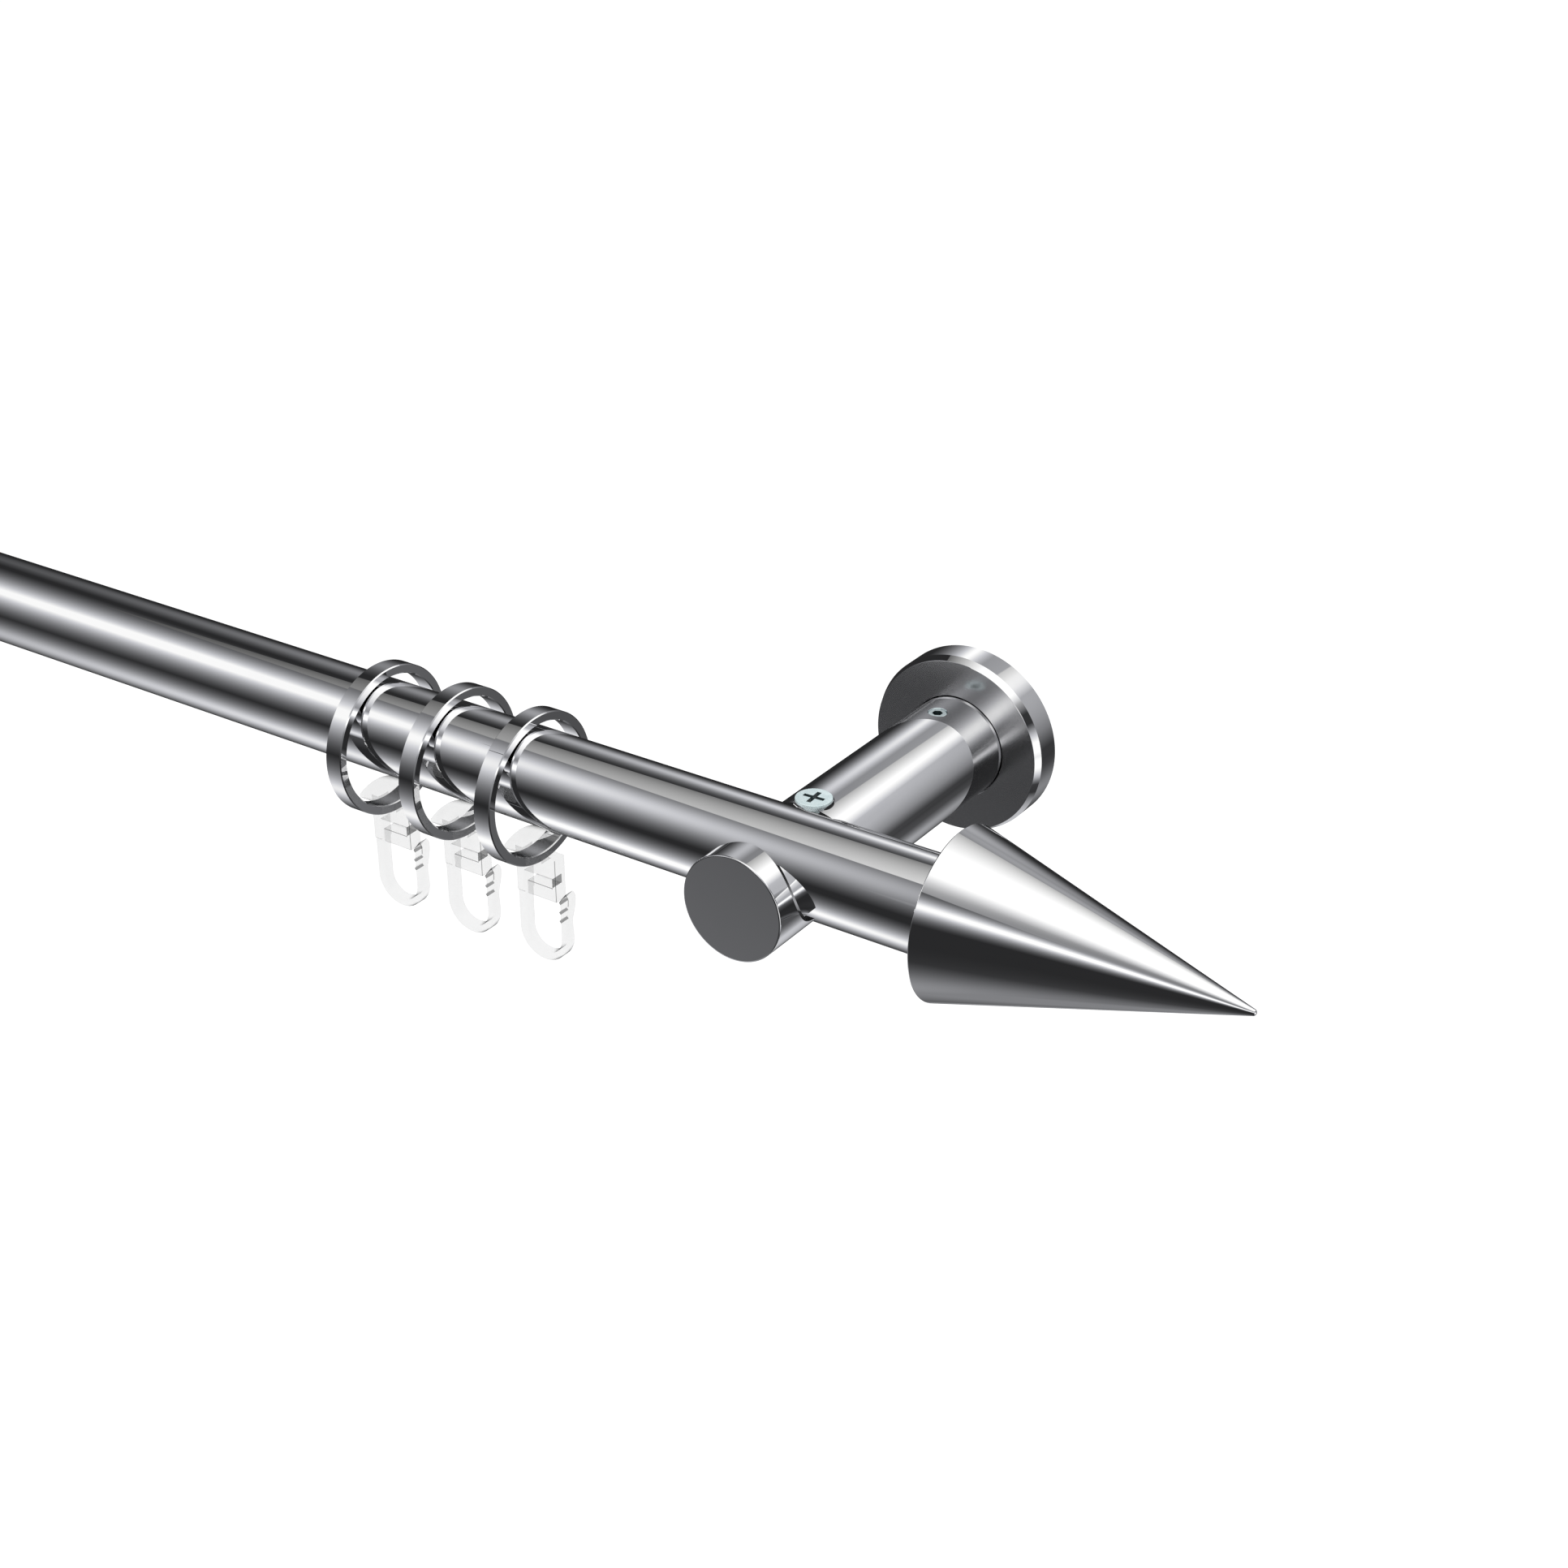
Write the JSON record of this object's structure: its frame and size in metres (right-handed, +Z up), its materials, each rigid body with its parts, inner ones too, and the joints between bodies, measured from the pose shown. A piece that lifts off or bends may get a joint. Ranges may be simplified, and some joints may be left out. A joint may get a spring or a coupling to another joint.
{
  "type": "curtain rod",
  "caption": "Round tube curtain rod on slotted wall brackets with round rosettes, cone finials, sliding band rings and clear clip-on pleat hooks.",
  "frame": {"origin": "on the wall plane, on the axis of the right-hand bracket's arm", "axes": "+X along the rod to the right-hand finial, +Y into the wall, +Z up"},
  "size_m": [1.321, 0.0889, 0.0641],
  "materials": {
    "chrome": "polished chrome plating",
    "zinc_screw": "bright zinc plating",
    "zinc_plate": "dull zinc plating",
    "plug_plastic": "moulded, matt",
    "clear_plastic": "clear, glossy"
  },
  "bodies": {
    "bracketed_rod": {"rod": "chrome", "arm_right": "chrome", "rosette_right": "chrome", "cone_right": "chrome", "clamp_screw_right": "zinc_screw", "grub_screw_right": "zinc_screw", "wall_plate_right": "zinc_plate", "plug_right": "plug_plastic", "arm_left": "chrome", "rosette_left": "chrome", "cone_left": "chrome", "clamp_screw_left": "zinc_screw", "grub_screw_left": "zinc_screw", "wall_plate_left": "zinc_plate", "plug_left": "plug_plastic"},
    "ring_body_1": {"ring_1": "chrome"},
    "hook_body_1": {"hook_1": "clear_plastic"},
    "ring_body_2": {"ring_2": "chrome"},
    "hook_body_2": {"hook_2": "clear_plastic"},
    "ring_body_3": {"ring_3": "chrome"},
    "hook_body_3": {"hook_3": "clear_plastic"}
  },
  "joints": [
    {"name": "ring_slide_1", "type": "slide", "parent": "bracketed_rod", "child": "ring_body_1", "axis": [1, 0, 0], "range_m": [-1.0087, 0.003]},
    {"name": "hook_swing_1", "type": "hinge", "parent": "ring_body_1", "child": "hook_body_1", "pos_m": [-0.1066, -0.0653, -0.00408], "axis": [1, 0, 0], "range_deg": [-35, 35]},
    {"name": "ring_slide_2", "type": "slide", "parent": "bracketed_rod", "child": "ring_body_2", "axis": [1, 0, 0], "range_m": [-0.003, 0.003]},
    {"name": "hook_swing_2", "type": "hinge", "parent": "ring_body_2", "child": "hook_body_2", "pos_m": [-0.0865, -0.0653, -0.00408], "axis": [1, 0, 0], "range_deg": [-35, 35]},
    {"name": "ring_slide_3", "type": "slide", "parent": "bracketed_rod", "child": "ring_body_3", "axis": [1, 0, 0], "range_m": [-0.003, 0.0523]},
    {"name": "hook_swing_3", "type": "hinge", "parent": "ring_body_3", "child": "hook_body_3", "pos_m": [-0.0664, -0.0653, -0.00408], "axis": [1, 0, 0], "range_deg": [-35, 35]}
  ]
}
